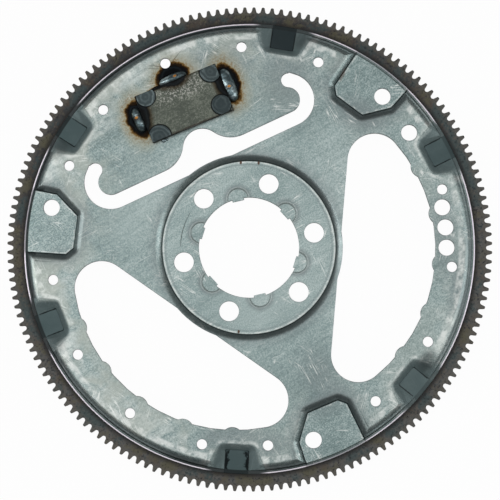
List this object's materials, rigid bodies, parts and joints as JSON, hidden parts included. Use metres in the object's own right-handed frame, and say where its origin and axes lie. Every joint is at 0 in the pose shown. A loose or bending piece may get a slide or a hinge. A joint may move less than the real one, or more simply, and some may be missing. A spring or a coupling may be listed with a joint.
{
  "type": "flexplate",
  "caption": "Stamped steel drive plate with a welded ring gear and balance weight, joining an engine crankshaft to a torque converter.",
  "frame": {"origin": "on the plate's axis, at the back face of the ring gear on which it lies", "axes": "+Z along the axis towards the side with the balance weight; +Y through the crank bolt hole that faces the offset index hole"},
  "size_m": [0.3514, 0.3514, 0.0235],
  "materials": {
    "plate_steel": "satin",
    "gear_steel": "satin",
    "weight_steel": "satin",
    "weld_metal": "satin"
  },
  "bodies": {
    "root": {"stamped_plate": "plate_steel", "ring_gear": "gear_steel", "balance_weight": "weight_steel", "weight_weld_left_end": "weld_metal", "weight_weld_top_edge": "weld_metal", "weight_weld_right_end": "weld_metal"}
  },
  "joints": []
}
